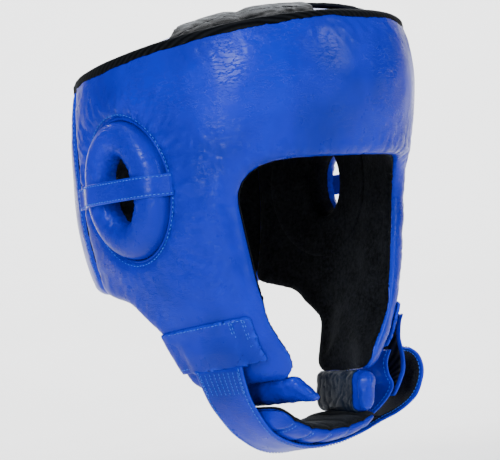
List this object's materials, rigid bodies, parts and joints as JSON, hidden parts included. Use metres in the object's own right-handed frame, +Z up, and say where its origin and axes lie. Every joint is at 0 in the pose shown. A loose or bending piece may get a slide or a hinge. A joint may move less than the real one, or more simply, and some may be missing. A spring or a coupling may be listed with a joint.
{
  "type": "boxing headgear",
  "caption": "Open-face padded boxing headgear with ear rings, domed crown pad, hook-and-loop flaps, opening back and padded chin strap.",
  "frame": {"origin": "centre of the wearer's head at the height of the ear holes, midway between the ears", "axes": "+Z up, -Y the way the face looks, -X the wearer's right; the chin strap closes on the wearer's left"},
  "size_m": [0.2416, 0.2514, 0.3022],
  "materials": {
    "blue_leather": "glossy grained leather",
    "black_leather": "matt grained leather",
    "black_binding": "folded binding tape",
    "suede_lining": "napped suede",
    "hook_tape": "hook tape",
    "loop_tape": "loop tape",
    "foam": "closed-cell foam"
  },
  "bodies": {
    "headgear": {"shell_cover": "blue_leather", "shell_foam": "foam", "shell_lining": "suede_lining", "rim_binding": "black_binding", "crown_cover": "blue_leather", "crown_foam": "foam", "crown_lining": "suede_lining", "crown_loop_right": "loop_tape", "crown_loop_left": "loop_tape", "crown_gusset_right": "black_leather", "crown_gusset_left": "black_leather", "ear_ring_cover_right": "blue_leather", "ear_ring_cover_left": "blue_leather", "ear_ring_foam_right": "foam", "ear_ring_foam_left": "foam", "ear_strap_right": "blue_leather", "ear_strap_left": "blue_leather", "cheek_band_right": "blue_leather", "cheek_band_left": "blue_leather", "chin_strap_root": "blue_leather"},
    "back_panel_left": {"back_left_cover": "blue_leather", "back_left_foam": "foam", "back_left_lining": "suede_lining", "back_left_binding": "black_binding", "rear_strap_root": "blue_leather"},
    "back_panel_right": {"back_right_cover": "blue_leather", "back_right_foam": "foam", "back_right_lining": "suede_lining", "back_right_binding": "black_binding", "rear_loop": "loop_tape"},
    "rear_strap": {"rear_strap": "blue_leather", "rear_hook": "hook_tape"},
    "crown_flap_right": {"crown_flap_right": "black_leather", "crown_hook_right": "hook_tape"},
    "crown_flap_left": {"crown_flap_left": "black_leather", "crown_hook_left": "hook_tape"},
    "chin_strap": {"chin_strap": "blue_leather", "chin_strap_tape": "loop_tape", "chin_ply": "blue_leather", "chin_tab": "blue_leather", "chin_tab_hook": "hook_tape", "chin_cup_cover": "blue_leather", "chin_cup_foam": "foam", "chin_cup_lining": "suede_lining"},
    "chin_flap": {"chin_flap": "blue_leather", "chin_flap_tape": "loop_tape"},
    "jaw_pad_right": {"jaw_pad_cover_right": "blue_leather", "jaw_pad_foam_right": "foam"},
    "jaw_pad_left": {"jaw_pad_cover_left": "blue_leather", "jaw_pad_foam_left": "foam"}
  },
  "joints": [
    {"name": "back_left_swing", "type": "hinge", "parent": "headgear", "child": "back_panel_left", "pos_m": [0.0985, 0.0614, 0], "axis": [0, 0, -1], "range_deg": [0, 28]},
    {"name": "back_right_swing", "type": "hinge", "parent": "headgear", "child": "back_panel_right", "pos_m": [-0.0985, 0.0614, 0], "axis": [0, 0, 1], "range_deg": [0, 28]},
    {"name": "rear_strap_peel", "type": "hinge", "parent": "back_panel_left", "child": "rear_strap", "pos_m": [0.0442, 0.1196, 0.004], "axis": [0, 0, -1], "range_deg": [0, 110]},
    {"name": "crown_flap_right_peel", "type": "hinge", "parent": "headgear", "child": "crown_flap_right", "pos_m": [-0.056, -0.0665, 0.1133], "axis": [0.7055, -0.7055, 0.0678], "range_deg": [0, 120]},
    {"name": "crown_flap_left_peel", "type": "hinge", "parent": "headgear", "child": "crown_flap_left", "pos_m": [0.056, -0.0665, 0.1133], "axis": [0.7055, 0.7055, -0.0678], "range_deg": [0, 120]},
    {"name": "chin_strap_swing", "type": "hinge", "parent": "headgear", "child": "chin_strap", "pos_m": [-0.0748, -0.032, -0.1222], "axis": [-0.2169, 0.976, -0.0217], "range_deg": [0, 95]},
    {"name": "chin_flap_peel", "type": "hinge", "parent": "chin_strap", "child": "chin_flap", "pos_m": [0.0613, -0.032, -0.1692], "axis": [0, 1, 0], "range_deg": [0, 80]},
    {"name": "jaw_pad_right_fold", "type": "hinge", "parent": "headgear", "child": "jaw_pad_right", "pos_m": [-0.05, -0.01, -0.1388], "axis": [0.3145, -0.9435, 0.1048], "range_deg": [-14, 30]},
    {"name": "jaw_pad_left_fold", "type": "hinge", "parent": "headgear", "child": "jaw_pad_left", "pos_m": [0.05, -0.01, -0.1388], "axis": [0.3145, 0.9435, -0.1048], "range_deg": [-14, 30]}
  ],
  "couplings": [
    {"joint": "back_right_swing", "follows": "back_left_swing", "ratio": 1}
  ]
}
